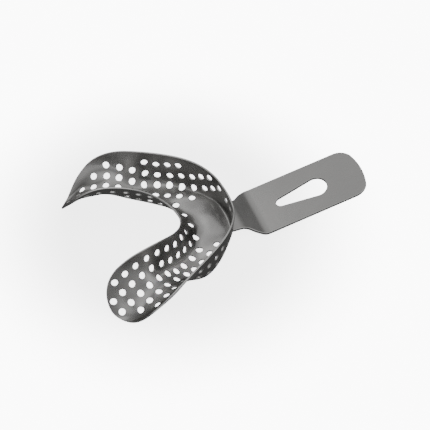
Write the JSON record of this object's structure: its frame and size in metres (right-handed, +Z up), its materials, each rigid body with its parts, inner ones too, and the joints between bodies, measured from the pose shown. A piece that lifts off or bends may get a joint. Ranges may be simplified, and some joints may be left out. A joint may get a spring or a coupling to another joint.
{
  "type": "impression tray",
  "caption": "Perforated metal dental impression tray for the lower arch: a horseshoe trough with outer and inner flanges, and a flat stamped handle with a teardrop slot.",
  "frame": {"origin": "middle of the overall box in X and Y, on the level the tray rests on (handle bend and the low corners of the two spoon ends)", "axes": "+X runs along the handle away from the trough, +Y is to the side across the arch, +Z is up with the open side of the trough facing up"},
  "size_m": [0.1104, 0.075, 0.0182],
  "materials": {
    "sheet_steel": "satin polished stainless sheet",
    "strip_steel": "satin brushed stainless strip",
    "weld_steel": "fused stainless weld nugget"
  },
  "bodies": {
    "root": {"tray_body": "sheet_steel", "handle": "strip_steel", "spot_welds": "weld_steel"}
  },
  "joints": []
}
